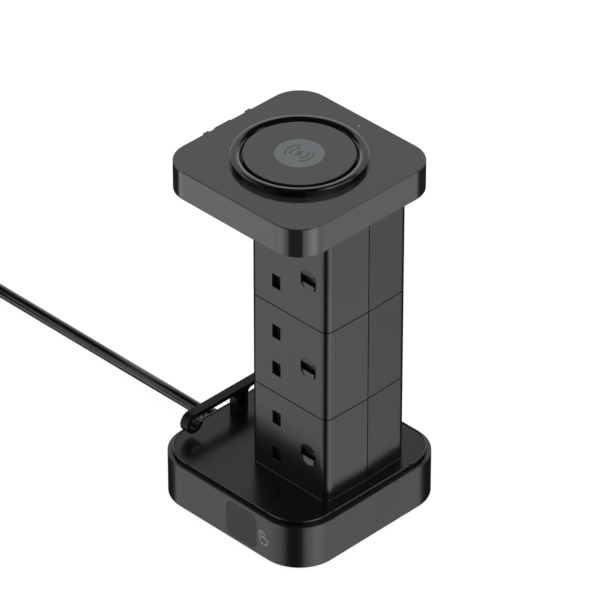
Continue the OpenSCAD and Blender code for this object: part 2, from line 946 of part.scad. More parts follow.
module base_deck() {
    color(body_black)
        difference() {
            union() {
                slab(deck_half, deck_corner, deck_under, deck_z);
                slab_ring(deck_half, deck_corner, deck_skirt, board_top, deck_under + 0.1);
                at_corners(foot_at)
                    translate([0, 0, bottom_top])
                        cylinder(h = deck_under - bottom_top + 0.1, d = post_d);
                // Cup that the stack stands in
                translate([0, 0, stack_floor])
                    linear_extrude(deck_z - stack_floor - 0.1)
                        stack_plan(-fit - 2);
            }
            translate([0, 0, stack_z])
                linear_extrude(tower_sink + past)
                    stack_plan(-fit);
            // Way through for the brass bars
            translate([tower_x - bar_room_w / 2, mid_y - bar_room_d / 2, stack_floor - past])
                cube([bar_room_w, bar_room_d, deck_t + 2 * past]);
            for (x = [-rod_x, rod_x], y = [-rod_y, rod_y])
                translate([tower_x + x, mid_y + y, stack_floor - past])
                    cylinder(h = deck_t + 2 * past, d = rod_d + 2 * rod_room);
            at_corners(foot_at)
                translate([0, 0, bottom_top - past])
                    cylinder(h = screw_bite + past, d = pilot_d);
            translate([rail_x, rail_y, deck_under - past])
                cylinder(h = deck_t + 2 * past, d = screw_d + 0.2);
            // Windows in the skirt, through which the lamps light the ring
            lamp_places()
                translate([-lamp_w / 2 - 0.5, deck_half - deck_skirt - past, -past])
                    cube([lamp_w + 1, deck_skirt + 2 * past, lamp_h + 0.5 + past]);
        }
}

module touch_panel() {
    color(gloss_black)
        translate([touch_x, touch_t - base_half, wall_z + base_h / 2 - 0.1])
            rotate([90, 0, 0])
                linear_extrude(touch_t)
                    rounded_rect(touch_w - 0.3, touch_h - 0.3, touch_corner - 0.15);
}

module touch_board() {
    board_z = bottom_top + seat_h + 0.2;
    color(board_green)
        translate([touch_x - touch_w / 2 + 0.5, 0.1 - inner_half, board_z])
            cube([touch_w - 1, board_t, shelf_z - shelf_t - 0.2 - board_z]);
}

module light_board() {
    color(board_green)
        union() {
            slab_ring(ring_half, ring_corner, shelf_w + 0.4, shelf_z, board_top);
            // Lamps, just inside the deck's skirt
            lamp_places()
                translate([-lamp_w / 2, ring_half - shelf_w - 0.2, -0.1])
                    cube([lamp_w, 0.4, lamp_h + 0.1]);
        }
}

module supply_board() {
    board_z = bottom_top + supply_rise;
    part_z = board_z + board_t - 0.1;
    transformer = [16, 15, 7];
    transformer_x = -18;
    capacitor_d = 8;
    capacitor_x = 4;
    choke = [10, 8, 6];
    choke_x = 10;
    choke_y = supply_y - 6;
    parts_y = supply_y - 10;
    color(board_green)
        difference() {
            union() {
                translate([-supply_w / 2, supply_y - supply_d / 2, board_z])
                    cube([supply_w, supply_d, board_t]);
                // Transformer, capacitor and choke
                translate([transformer_x, parts_y, part_z])
                    cube(transformer);
                translate([capacitor_x, parts_y, part_z])
                    cylinder(h = transformer[2], d = capacitor_d);
                translate([choke_x, choke_y, part_z])
                    cube(choke);
            }
            supply_corners()
                translate([0, 0, board_z - past])
                    cylinder(h = board_t + 2 * past, d = pilot_d);
        }
}

module cord_relief() {
    flange_t = 1.6;
    color(rubber_black)
        translate([-base_half, exit_y, exit_z])
            difference() {
                union() {
                    rotate([0, -90, 0])
                        cylinder(h = relief_len, d1 = relief_d, d2 = relief_tip_d);
                    rotate([0, 90, 0])
                        cylinder(h = base_wall + 0.1, r = cord_r + 0.9);
                    translate([base_wall, 0, 0])
                        rotate([0, 90, 0])
                            cylinder(h = flange_t, r = relief_flange_r);
                }
                translate([-relief_len - past, 0, 0])
                    rotate([0, 90, 0])
                        cylinder(h = relief_len + base_wall + flange_t + 2 * past, r = cord_r);
                // Grooves that let the tail of the relief flex
                for (step = [0:4])
                    translate([-7 - 2.8 * step, 0, 0])
                        rotate([0, 90, 0])
                            difference() {
                                cylinder(h = 1, r = relief_d);
                                translate([0, 0, -past])
                                    cylinder(h = 1 + 2 * past, r = cord_r + 0.9);
                            }
            }
}

module cord_clamp() {
    rise = 5;
    color(dark_black)
        difference() {
            translate([clamp_x - clamp_len / 2, exit_y - clamp_half, exit_z + 0.2])
                cube([clamp_len, 2 * clamp_half, rise]);
            translate([clamp_x - clamp_len / 2 - past, exit_y, exit_z])
                rotate([0, 90, 0])
                    cylinder(h = clamp_len + 2 * past, r = cord_r);
            for (y = [-1, 1])
                translate([clamp_x, exit_y + y * clamp_screw_at, exit_z])
                    cylinder(h = rise + past, d = screw_d + 0.2);
        }
}

module clamp_screws() {
    rise = 5.2;
    color(steel_tone)
        for (y = [-1, 1])
            translate([clamp_x, exit_y + y * clamp_screw_at, exit_z + rise])
                rotate([180, 0, 0])
                    screw_up(0, rise + 3.5);
}

// One end hook of the rail, seen along X, its middle at the origin
module hook_plan() {
    open_from = -atan2(3, 4);
    difference() {
        circle(hook_r);
        circle(hook_r - hook_t);
        polygon([
            [0, 0], [2 * hook_r * cos(open_from), 2 * hook_r * sin(open_from)],
            [3 * hook_r, 0], [3 * hook_r, 3 * hook_r], [0, 3 * hook_r]
        ]);
    }
    rotate(open_from)
        translate([hook_r - hook_t, -0.05])
            square([hook_t, hook_lip + 0.05]);
}

// Side view of the rail: first axis along Y, second up
module rail_plan() {
    translate([-hook_y, rail_z])
        square([2 * hook_y, rail_t]);
    for (side = [-1, 1])
        translate([side * hook_y, hook_z])
            mirror([side > 0 ? 1 : 0, 0])
                hook_plan();
    translate([-post_w / 2, deck_z])
        square([post_w, rail_rise + rail_t / 2]);
    for (side = [-1, 1])
        difference() {
            translate([side > 0 ? post_w / 2 - 0.1 : -post_w / 2 - post_fillet, rail_z - post_fillet])
                square([post_fillet + 0.1, post_fillet + 0.1]);
            translate([side * (post_w / 2 + post_fillet), rail_z - post_fillet])
                circle(post_fillet);
        }
}

module cable_rail() {
    sill = 2;
    lintel = 0.8;
    color(dark_black)
        difference() {
            translate([rail_x - rail_w / 2, rail_y, 0])
                rotate([90, 0, 90])
                    linear_extrude(rail_w)
                        rail_plan();
            translate([
                rail_x + rail_w / 2 - pocket_depth, rail_y - pocket_w / 2 + 0.3,
                deck_z + sill
            ])
                cube([pocket_depth + past, pocket_w, rail_rise - sill - lintel]);
            translate([rail_x, rail_y, deck_z - past])
                cylinder(h = sill + past - 0.4, d = pilot_d);
        }
}

module rail_screw() {
    color(steel_tone)
        translate([rail_x, rail_y, 0])
            screw_up(deck_under, deck_t + 1.4);
}

module head_shell() {
    color(body_black)
        difference() {
            union() {
                difference() {
                    bevelled_slab(head_half, head_corner, head_z, head_top, head_bevel);
                    slab(head_inner, head_inner_corner, head_z - past, head_top - head_plate);
                }
                at_corners(head_screw_at)
                    translate([0, 0, head_z + head_plate])
                        cylinder(h = head_h - 2 * head_plate + 0.1, d = post_d);
                // Guard ribs either side of the switch
                for (side = [-1, 1])
                    translate([
                        -head_half - rib_proud,
                        rib_mid + side * rib_spacing / 2 - rib_w / 2, head_z + 1
                    ])
                        cube([rib_proud + 0.1, rib_w, head_h - 1.2]);
                // Collar that holds the indicator light's pipe
                translate([0, pipe_at, head_top - head_plate - 4])
                    cylinder(h = 4.1, d = pipe_d + 3);
            }
            translate([0, 0, head_top - head_plate - past])
                cylinder(h = head_plate + 2 * past, r = spigot_r + fit);
            translate([0, pipe_at, head_top - head_plate - 4 - past])
                cylinder(h = head_plate + 4 + 2 * past, d = pipe_d);
            at_corners(head_screw_at)
                translate([0, 0, head_z + head_plate - past])
                    cylinder(h = screw_bite + past, d = pilot_d);
            translate([
                -head_half - past, switch_y - rocker_w / 2 - rocker_side - cheek_t - 0.1,
                switch_z - housing_half - 0.1
            ])
                cube([
                    head_wall + 2 * past, rocker_w + 2 * (rocker_side + cheek_t) + 0.2,
                    2 * housing_half + 0.2
                ]);
        }
}

module head_bottom() {
    boss_h = 4;
    color(body_black)
        difference() {
            union() {
                slab(head_inner - fit, head_inner_corner - fit, head_z, head_z + head_plate);
                translate([0, 0, stack_top])
                    linear_extrude(neck_h + 0.1)
                        stack_plan(1.5);
                for (x = [-rod_x, rod_x], y = [-rod_y, rod_y])
                    translate([tower_x + x, mid_y + y, head_z + head_plate - 0.1])
                        cylinder(h = boss_h + 0.1, d = rod_d + 4);
                // Standoffs of the charger board
                for (corner = [[-1, -1], [1, -1], [-1, 1]])
                    translate([
                        corner[0] * (charger_w / 2 - standoff_in),
                        charger_y + corner[1] * (charger_d / 2 - standoff_in),
                        head_z + head_plate - 0.1
                    ])
                        cylinder(h = board_rest - head_z - head_plate + 0.1, d = standoff_d);
            }
            for (x = [-rod_x, rod_x], y = [-rod_y, rod_y])
                translate([tower_x + x, mid_y + y, stack_top - past])
                    cylinder(h = neck_h + head_plate + boss_h + 2 * past, d = rod_d);
            translate([tower_x - bar_room_w / 2, mid_y - bar_room_d / 2, stack_top - past])
                cube([bar_room_w, bar_room_d, neck_h + head_plate + 2 * past]);
            at_corners(head_screw_at) {
                translate([0, 0, head_z - past])
                    cylinder(h = head_plate + 2 * past, d = screw_d + 0.2);
                translate([0, 0, head_z - past])
                    cylinder(h = screw_head_h + past, d = screw_head_d + 0.4);
            }
        }
}

module head_screws() {
    color(steel_tone)
        at_corners(head_screw_at)
            screw_up(head_z + screw_head_h, head_plate - screw_head_h + screw_bite);
}

// The gloss ring: broad round crest, small bevel at its outer edge and a spigot
module pad_ring() {
    edge_h = ring_h - 0.75;
    color(gloss_black)
        translate([0, 0, head_top])
            rotate_extrude() {
                intersection() {
                    translate([ring_r - crest_in, ring_h - ring_crest])
                        circle(ring_crest);
                    polygon([
                        [ring_bore, 0], [ring_r, 0], [ring_r, edge_h],
                        [ring_r - 1, edge_h + 1], [ring_bore, edge_h + 1]
                    ]);
                }
                translate([ring_bore, -spigot_h])
                    square([spigot_r - ring_bore, spigot_h + 0.1]);
            }
}

module pad_disc() {
    color(body_black)
        translate([0, 0, head_top])
            rotate_extrude()
                difference() {
                    union() {
                        translate([0, disc_rise - disc_t])
                            square([disc_r, disc_t]);
                        translate([disc_r - disc_skirt, -spigot_h - flange_t])
                            square([disc_skirt, spigot_h + flange_t + disc_rise]);
                        translate([disc_r - disc_skirt, -spigot_h - flange_t])
                            square([spigot_r - disc_r + disc_skirt, flange_t]);
                    }
                    translate([-past, disc_rise - patch_t])
                        square([patch_d / 2 + past, patch_t + past]);
                }
}

module pad_patch() {
    color(patch_grey)
        translate([0, 0, head_top + disc_rise - patch_t])
            cylinder(h = patch_t, d = patch_d);
}

module charge_winding() {
    color(copper_tone)
        translate([0, 0, head_top + disc_rise - disc_t - winding_t])
            difference() {
                cylinder(h = winding_t, d = winding_d);
                translate([0, 0, -past])
                    cylinder(h = winding_t + 2 * past, d = 20);
            }
}

module ferrite_disc() {
    color(inner_grey)
        translate([0, 0, head_top + disc_rise - disc_t - winding_t - ferrite_t])
            cylinder(h = ferrite_t, d = winding_d + 4);
}

module charger_board() {
    color(board_green)
        union() {
            translate([-charger_w / 2, charger_y - charger_d / 2, board_rest])
                cube([charger_w, charger_d, board_t]);
            // Control chip and its coil
            translate([-8, charger_y - 15, board_rest + board_t - 0.1])
                cube([12, 12, 1.6]);
            translate([8, charger_y + 3, board_rest + board_t - 0.1])
                cube([8, 8, 1.8]);
        }
}

module indicator_pipe() {
    color("white")
        translate([0, pipe_at, head_top - head_plate - 4.6])
            cylinder(h = head_plate + 4.4, d = pipe_d);
}

module switch_housing() {
    body_w = rocker_w + 2 * (rocker_side + cheek_t);
    cavity = housing_depth - 2;
    color(gloss_black)
        difference() {
            union() {
                translate([-head_half - bezel_proud, switch_y - bezel_w / 2, head_z + 0.4])
                    cube([bezel_proud, bezel_w, head_h - 0.5]);
                translate([-head_half, switch_y - body_w / 2, switch_z - housing_half])
                    cube([housing_depth, body_w, 2 * housing_half]);
            }
            translate([
                -head_half - past, switch_y - rocker_w / 2 - rocker_side,
                switch_z - window_half
            ])
                cube([cavity + past, rocker_w + 2 * rocker_side, 2 * window_half]);
            translate([pivot_x, switch_y + body_w / 2 + past, switch_z])
                rotate([90, 0, 0])
                    cylinder(h = body_w + 2 * past, d = pivot_d + 2 * pivot_fit);
        }
}

// The rocker at rest: its upper half is pressed level with the bezel
module switch_rocker() {
    reach = rocker_len / 2;
    deep = rocker_depth / cos(rocker_tilt);
    tip = deep + reach * tan(rocker_tilt);
    color(gloss_black)
        translate([pivot_x, switch_y, switch_z])
            rotate([0, -rocker_tilt, 0]) {
                translate([0, rocker_w / 2, 0])
                    rotate([90, 0, 0])
                        linear_extrude(rocker_w)
                            polygon([
                                [-tip, -reach], [-deep, 0], [-tip, reach],
                                [1, reach - 0.8], [3, 1.5], [3, -1.5], [1, 0.8 - reach]
                            ]);
                translate([0, rocker_w / 2 + 0.8, 0])
                    rotate([90, 0, 0])
                        cylinder(h = rocker_w + 1.6, d = pivot_d);
            }
}

// A smooth step from 0 to 1
function ease(t) = t <= 0 ? 0 : t >= 1 ? 1 : (1 - cos(180 * t)) / 2;

function unit(v) = v / norm(v);

// Direction of a route at one of its points
function heading(route, i) =
    unit(route[min(i + 1, len(route) - 1)] - route[max(i - 1, 0)]);

// The ring of points round one point of a route, across a given direction
function ring_at(p, ahead, r, sides) =
    let (
        level = unit(cross(ahead, [0, 0, 1])),
        up = cross(level, ahead)
    )
    [for (k = [0:sides - 1])
        let (a = 360 * (k + 0.5) / sides)
        p + r * (cos(a) * level + sin(a) * up)];

// A tube swept along a route, its two ends square to first and last
module tube(route, r, sides, first, last) {
    count = len(route);
    rings = [for (i = [0:count - 1])
        ring_at(
            route[i],
            i == 0 ? first : i == count - 1 ? last : heading(route, i),
            r, sides
        )];
    points = [for (ring = rings) each ring];
    walls = [for (i = [0:count - 2], k = [0:sides - 1])
        let (
            a = i * sides + k,
            b = i * sides + (k + 1) % sides
        )
        each [[a, a + sides, b + sides], [a, b + sides, b]]];
    end = (count - 1) * sides;
    caps = [for (k = [1:sides - 2])
        each [[0, k, k + 1], [end, end + k + 1, end + k]]];
    polyhedron(points = points, faces = concat(walls, caps));
}

// Where the cord's middle is at a given x on its way to the coil
function run_point(x) =
    let (
        down = ease((x - drop_from_x) / (drop_to_x - drop_from_x)),
        climb = ease((x - climb_from_x) / (climb_to_x - climb_from_x))
    )
    [
        x,
        exit_y + (floor_y - exit_y) * down,
        exit_z + (cord_r - exit_z) * down + (coil_z - cord_r) * climb
    ];

run_route = [for (x = [
    inner_end_x, -53, -75, -82, drop_from_x, -95, -100, -105, -110, -115, -120, -125,
    -130, -135, -140, -145, drop_to_x, -165, -180, -195, -210, climb_from_x,
    -237, -244, -251, -258, climb_to_x, coil_x + cord_d
]) run_point(x)];

coil_count = 2 * coil_turns * coil_steps;

// Radius and height of the coil at a step: in on the floor, out on top of that,
// then half a turn more beside the pile and down to the floor
function coil_radius(k) =
    k <= coil_count / 2 ? coil_outer_r - coil_pitch * k / coil_steps :
    k <= coil_count ? coil_inner_r + coil_pitch * (k - coil_count / 2) / coil_steps :
    coil_outer_r + exit_shift * ease((k - coil_count) / 8);

function coil_height(k) =
    coil_z
    + coil_rise * ease((k - coil_count / 2 + coil_steps / 4) / (coil_steps / 2))
    - (coil_z + coil_rise - cord_r) * ease((k - coil_count - 4) / 8);

function coil_point(k) =
    let (a = 90 + 360 * k / coil_steps)
    [
        coil_x + coil_radius(k) * cos(a),
        coil_y + coil_radius(k) * sin(a),
        coil_height(k)
    ];

coil_last = coil_count + coil_steps / 2;
coil_route = [
    [coil_x + cord_d, floor_y, coil_z],
    each [for (k = [0:coil_last]) coil_point(k)],
    [coil_x + cord_d, tail_y, cord_r]
];

// Least gap between two turns of the coil, measured on its points
coil_gap = min([for (i = [0:coil_last], j = [i + 10:1:coil_last])
    norm(coil_point(i) - coil_point(j))]) - cord_d;
echo(coil_gap = coil_gap);

function tail_point(along) =
    [
        coil_x + along, tail_y,
        cord_r + (plug_cord_z - cord_r)
            * ease((along - tail_rise_from) / (tail_rise_to - tail_rise_from))
    ];

tail_route = [for (along = [
    cord_d, tail_rise_from, 18, 22, 26, 30, 34, 38, 42, 46, tail_rise_to, tail_end
]) tail_point(along)];

module cord_run() {
    color(dark_black)
        tube(run_route, cord_r, 12, [-1, 0, 0], [-1, 0, 0]);
}

module cord_coil() {
    color(dark_black)
        tube(coil_route, cord_r, 6, [-1, 0, 0], [1, 0, 0]);
}

module cord_tail() {
    color(dark_black)
        tube(tail_route, cord_r, 12, [1, 0, 0], [1, 0, 0]);
}

module cord_tie() {
    slack = 0.8;
    near = coil_inner_r + coil_pitch / 4 - cord_r - slack;
    far = coil_outer_r - coil_pitch / 4 + cord_r + slack;
    high = coil_z + coil_rise + cord_r + 0.3;
    color(rubber_black)
        translate([coil_x + (near + far) / 2, coil_y + tie_w / 2, high / 2])
            rotate([90, 0, 0])
                linear_extrude(tie_w)
                    difference() {
                        translate([0, tie_t / 2])
                            rounded_rect(far - near + 2 * tie_t, high + tie_t, 2.8);
                        translate([0, tie_t / 2])
                            rounded_rect(far - near, high - tie_t, 2);
                    }
}

module pin_blocks(sink) {
    ln_x = plug_x + pin_from_edge;
    for (side = [-1, 1])
        translate([
            ln_x - pin_t / 2, plug_y + side * power_spacing / 2 - power_pin_w / 2,
            plug_t - sink
        ])
            cube([pin_t, power_pin_w, power_pin_len + sink]);
    translate([
        ln_x + earth_spacing - earth_pin_w / 2, plug_y - pin_t / 2, plug_t - sink
    ])
        cube([earth_pin_w, pin_t, earth_pin_len + sink]);
}

// Block of the fuse carrier, or with grow the pocket that it sits in
module fuse_block(grow) {
    carrier = [8, 28, 3];
    from_pins = 6.5;
    translate([
        plug_x + pin_from_edge + from_pins - grow, plug_y - carrier[1] / 2 - grow,
        plug_t - carrier[2]
    ])
        cube([
            carrier[0] + 2 * grow, carrier[1] + 2 * grow, carrier[2] + (grow > 0 ? past : 0)
        ]);
}

module plug_body() {
    back_bevel = 3;
    corner = 8;
    color(body_black)
        difference() {
            union() {
                translate([plug_x + plug_len / 2, plug_y, 0]) {
                    translate([0, 0, back_bevel])
                        linear_extrude(plug_t - back_bevel)
                            rounded_rect(plug_len, plug_w, corner);
                    linear_extrude(back_bevel + 0.1)
                        rounded_rect(plug_len - 4, plug_w - 4, corner - 2);
                }
                translate([plug_x - sleeve_len, plug_y, plug_cord_z])
                    rotate([0, 90, 0])
                        cylinder(h = sleeve_len + 3, d1 = sleeve_tip_d, d2 = sleeve_d);
            }
            pin_blocks(5);
            fuse_block(0.15);
        }
}

module plug_pins() {
    color(brass_tone)
        pin_blocks(5);
}

module fuse_carrier() {
    pry_slot = [2, 3, 2];
    pry_x = 9.5;
    pry_y = 9;
    color(dark_black)
        difference() {
            fuse_block(0);
            translate([plug_x + pin_from_edge + pry_x, plug_y + pry_y, plug_t - 1])
                cube(pry_slot);
        }
}

base_shell();
base_bottom();
base_feet();
base_screws();
light_ring();
base_deck();
touch_panel();
touch_board();
light_board();
supply_board();
cord_relief();
cord_clamp();
clamp_screws();
cable_rail();
rail_screw();
front_shell(0);  // front_shell_low
front_shell(1);  // front_shell_mid
front_shell(2);  // front_shell_top
rear_shell(0);  // rear_shell_low
rear_shell(1);  // rear_shell_mid
rear_shell(2);  // rear_shell_top
socket_frame(0);  // socket_frame_low
socket_frame(1);  // socket_frame_mid
socket_frame(2);  // socket_frame_top
live_bar();
neutral_bar();
earth_bar();
tower_rods();
at_front(0) shutter();  // front_shutter_low
at_front(1) shutter();  // front_shutter_mid
at_front(2) shutter();  // front_shutter_top
at_rear(0) shutter();  // rear_shutter_low
at_rear(1) shutter();  // rear_shutter_mid
at_rear(2) shutter();  // rear_shutter_top
at_front(0) spring();  // front_spring_low
at_front(1) spring();  // front_spring_mid
at_front(2) spring();  // front_spring_top
at_rear(0) spring();  // rear_spring_low
at_rear(1) spring();  // rear_spring_mid
at_rear(2) spring();  // rear_spring_top
head_shell();
head_bottom();
head_screws();
pad_ring();
pad_disc();
pad_patch();
charge_winding();
ferrite_disc();
charger_board();
indicator_pipe();
switch_housing();
switch_rocker();
cord_run();
cord_coil();
cord_tail();
cord_tie();
plug_body();
plug_pins();
fuse_carrier();
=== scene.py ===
import math
import bmesh
import bpy
from mathutils import Matrix, Vector
from mathutils.geometry import convex_hull_2d


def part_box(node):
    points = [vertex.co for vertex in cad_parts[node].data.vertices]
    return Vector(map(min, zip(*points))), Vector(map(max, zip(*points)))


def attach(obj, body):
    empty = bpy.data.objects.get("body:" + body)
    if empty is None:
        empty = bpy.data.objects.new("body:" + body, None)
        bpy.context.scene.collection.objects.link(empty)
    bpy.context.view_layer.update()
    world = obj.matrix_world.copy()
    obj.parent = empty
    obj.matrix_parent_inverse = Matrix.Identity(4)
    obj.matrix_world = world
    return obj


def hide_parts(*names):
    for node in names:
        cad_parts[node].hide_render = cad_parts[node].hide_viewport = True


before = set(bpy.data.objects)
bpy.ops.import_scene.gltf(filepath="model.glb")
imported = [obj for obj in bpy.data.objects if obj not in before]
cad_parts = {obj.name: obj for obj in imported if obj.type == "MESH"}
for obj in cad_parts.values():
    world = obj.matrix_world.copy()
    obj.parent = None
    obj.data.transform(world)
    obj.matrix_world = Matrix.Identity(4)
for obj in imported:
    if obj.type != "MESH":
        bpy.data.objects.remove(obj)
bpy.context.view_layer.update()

mm = 0.001
scene = bpy.context.scene
scene.view_settings.view_transform = "Standard"


# small helpers

def hexToLinear(code):
    # an sRGB hex value as the linear colour that the shaders want
    values = [int(code[i:i + 2], 16) / 255 for i in (1, 3, 5)]
    return tuple(v / 12.92 if v <= 0.04045 else ((v + 0.055) / 1.055) ** 2.4 for v in values) + (1.0,)


def addNode(tree, kind, settings=None, **links):
    # settings: an input's name or number, or one of the node's own attributes
    # links: an input's name, or i and its number, with the output that feeds it
    node = tree.nodes.new(kind)
    for key, value in (settings or {}).items():
        if isinstance(key, int) or key in node.inputs:
            node.inputs[key].default_value = value
        else:
            setattr(node, key, value)
    for key, source in links.items():
        socket = int(key[1:]) if key[0] == "i" and key[1:].isdigit() else key
        tree.links.new(source, node.inputs[socket])
    return node


def newObject(name, mesh, material):
    # a piece of the scene that stays on the fixed body
    piece = bpy.data.objects.new(name, mesh)
    scene.collection.objects.link(piece)
    if material:
        mesh.materials.append(material)
    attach(piece, "frame")
    return piece


# camera

camera = {
    "place": (1653.95, -1652.97, 1750.46),   # mm, solved from 40 edges and corners
    "turn": 45.01,                           # degrees round, from looking along +Y
    "height": 34.935,                        # degrees above the horizon
    "lens": 344.74,                          # mm, a long lens far away
    "sensor": 36,
    "clip": (0.05, 20),                      # metres
}


def makeCamera():
    turn, height = math.radians(camera["turn"]), math.radians(camera["height"])
    right = Vector((math.cos(turn), math.sin(turn), 0))
    flat = math.cos(height)
    back = Vector((math.sin(turn) * flat, -math.cos(turn) * flat, math.sin(height)))
    up = back.cross(right)
    data = bpy.data.cameras.new("photoCamera")
    data.sensor_width, data.lens = camera["sensor"], camera["lens"]
    data.clip_start, data.clip_end = camera["clip"]
    view = bpy.data.objects.new("photoCamera", data)
    axes = Matrix((right, up, back)).transposed().to_4x4()
    view.matrix_world = Matrix.Translation(Vector(camera["place"]) * mm) @ axes
    scene.collection.objects.link(view)
    scene.camera = view


makeCamera()
print("camera made")


# cord: same route as the solids

cord = {
    "diameter": 6.5,
    "exit": (-53.65, 3, 9.3),                # where it leaves the base wall
    "dropFrom": -90, "dropTo": -150,         # x where it comes down to the floor
    "floorY": 8.7,
    "climbFrom": -230, "climbTo": -265,      # x where it climbs onto the strap
    "coilX": -278, "turns": 3, "pitch": 7, "inner": 27,
    "rise": 6.95,                            # from the lower layer to the upper one
    "shift": 7.4,                            # from the outer turn to the tail beside it
    "stepsPerTurn": 24, "riseSteps": 12, "leaveSteps": 8, "dropAfter": 4,
    "strapThick": 0.8, "strapRoom": 0.15,
    "tailEnd": 72, "tailRise": (14, 50), "plugHeight": 9,
}
cordRadius = cord["diameter"] / 2
coilOuter = cord["inner"] + cord["turns"] * cord["pitch"]
coilY = cord["floorY"] - coilOuter
coilHeight = cord["strapThick"] + cordRadius + cord["strapRoom"]
tailY = coilY - coilOuter - cord["shift"]


def ease(t):
    return 0 if t <= 0 else 1 if t >= 1 else (1 - math.cos(math.pi * t)) / 2


def runPoint(x):
    down = ease((x - cord["dropFrom"]) / (cord["dropTo"] - cord["dropFrom"]))
    climb = ease((x - cord["climbFrom"]) / (cord["climbTo"] - cord["climbFrom"]))
    y, z = cord["exit"][1:]
    z += (cordRadius - z) * down + (coilHeight - cordRadius) * climb
    return (x, y + (cord["floorY"] - y) * down, z)


def coilPoint(k):
    # k counts steps: in on the floor, out on top of that, then half a turn down beside the pile
    perTurn, riseSteps, leaveSteps = cord["stepsPerTurn"], cord["riseSteps"], cord["leaveSteps"]
    last = 2 * cord["turns"] * perTurn
    if k <= last / 2:
        radius = coilOuter - cord["pitch"] * k / perTurn
    elif k <= last:
        radius = cord["inner"] + cord["pitch"] * (k - last / 2) / perTurn
    else:
        radius = coilOuter + cord["shift"] * ease((k - last) / leaveSteps)
    up = ease((k - last / 2 + riseSteps / 2) / riseSteps)
    down = ease((k - last - cord["dropAfter"]) / leaveSteps)
    height = coilHeight + cord["rise"] * up - (coilHeight + cord["rise"] - cordRadius) * down
    angle = math.radians(90 + 360 / perTurn * k)
    return (cord["coilX"] + radius * math.cos(angle), coilY + radius * math.sin(angle), height)


def tailPoint(along):
    low, high = cord["tailRise"]
    return (cord["coilX"] + along, tailY,
            cordRadius + (cord["plugHeight"] - cordRadius) * ease((along - low) / (high - low)))


def cordRoute():
    points = [runPoint(x) for x in (-38, -48, -60, -75, -82)]
    points += [runPoint(x) for x in range(-90, -151, -3)]
    points += [runPoint(x) for x in range(-160, -229, -10)]
    points += [runPoint(x) for x in range(-230, -266, -3)]
    points.append(runPoint(-271.5))
    lastStep = cord["stepsPerTurn"] * (2 * cord["turns"] + 0.5)
    points += [coilPoint(k / 2) for k in range(0, int(2 * lastStep) + 1)]
    points += [tailPoint(a) for a in (6.5, *range(14, 51, 3), 58, cord["tailEnd"])]
    return points


def lineCurve(name, runs, radius, cyclic=False, sides=9):
    # a round tube along each run of points
    data = bpy.data.curves.new(name, "CURVE")
    data.dimensions, data.bevel_resolution = "3D", sides
    data.bevel_depth = 1.0   # one metre, times each point's radius
    data.use_fill_caps = not cyclic
    for points in runs:
        spline = data.splines.new("POLY")
        spline.points.add(len(points) - 1)
        for spot, point in zip(spline.points, points):
            spot.co = (*[v * mm for v in point], 1)
            spot.radius = radius * mm
        spline.use_cyclic_u = cyclic
        spline.use_smooth = True
    return data


route = cordRoute()
cordPiece = newObject("mainsCord", lineCurve("mainsCord", [route], cordRadius), None)
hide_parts("cord_run", "cord_coil", "cord_tail")


# materials

def surfaceBase(name, hexColour, rough, metallic=0.0, specular=0.5):
    # the shared start: a principled surface with the usual IOR of 1.5, and its position in millimetres
    material = bpy.data.materials.new(name)
    material.use_nodes = True
    tree = material.node_tree
    shader = tree.nodes["Principled BSDF"]
    shader.inputs["Base Color"].default_value = hexToLinear(hexColour)
    shader.inputs["Roughness"].default_value = rough
    shader.inputs["Metallic"].default_value = metallic
    shader.inputs["Specular IOR Level"].default_value = specular
    place = addNode(tree, "ShaderNodeTexCoord").outputs["Object"]
    scaled = addNode(tree, "ShaderNodeVectorMath", {"operation": "SCALE", "Scale": 1 / mm}, i0=place)
    return material, tree, shader, scaled.outputs[0]


def mouldedPlastic(
        name, hexColour, rough, grain, depth, specular=0.5, edgeRadius=0.25, edgeHighlightHex=None, shine=0.04):
    # injection-moulded plastic: even colour, slight drift of gloss, fine spark grain, rounded edges
    material, tree, shader, inMm = surfaceBase(name, hexColour, rough, specular=specular)
    # gloss drifts in 30 mm patches
    drift = addNode(tree, "ShaderNodeTexNoise", {"Scale": 0.035, "Detail": 2.0}, Vector=inMm)
    glossRange = {"To Min": rough - shine, "To Max": rough + shine}
    spread = addNode(tree, "ShaderNodeMapRange", glossRange, Value=drift.outputs["Fac"])
    tree.links.new(spread.outputs["Result"], shader.inputs["Roughness"])
    sparkGrain = {"Scale": 1 / grain, "Detail": 3.0, "Roughness": 0.6}
    fine = addNode(tree, "ShaderNodeTexNoise", sparkGrain, Vector=inMm)
    edge = addNode(tree, "ShaderNodeBevel", {"samples": 4, "Radius": edgeRadius * mm})
    bump = addNode(
        tree, "ShaderNodeBump", {"Strength": depth, "Distance": 0.02 * mm},
        Height=fine.outputs["Fac"], Normal=edge.outputs["Normal"],
    )
    tree.links.new(bump.outputs["Normal"], shader.inputs["Normal"])
    if edgeHighlightHex:   # painted highlight: the rounded edges are a little paler, as if lit, broken up by the grain
        flat = addNode(tree, "ShaderNodeNewGeometry")
        turn = addNode(
            tree, "ShaderNodeVectorMath", {"operation": "DOT_PRODUCT"},
            i0=flat.outputs["Normal"], i1=edge.outputs["Normal"],
        )
        # painted edge highlight, strongest where the rounded edge turns furthest from the flat face
        edgeSheen = addNode(
            tree, "ShaderNodeMapRange", {"From Min": 0.985, "From Max": 0.90}, Value=turn.outputs["Value"],
        )
        # in 3 mm patches
        patchy = addNode(tree, "ShaderNodeTexNoise", {"Scale": 0.3, "Detail": 4.0}, Vector=inMm)
        highlightShare = addNode(
            tree, "ShaderNodeMath", {"operation": "MULTIPLY"},
            i0=edgeSheen.outputs["Result"], i1=patchy.outputs["Fac"],
        )
        colours = {"data_type": "RGBA", 6: hexToLinear(hexColour), 7: hexToLinear(edgeHighlightHex)}
        mix = addNode(tree, "ShaderNodeMix", colours, Factor=highlightShare.outputs["Value"])
        tree.links.new(mix.outputs[2], shader.inputs["Base Color"])
    return material


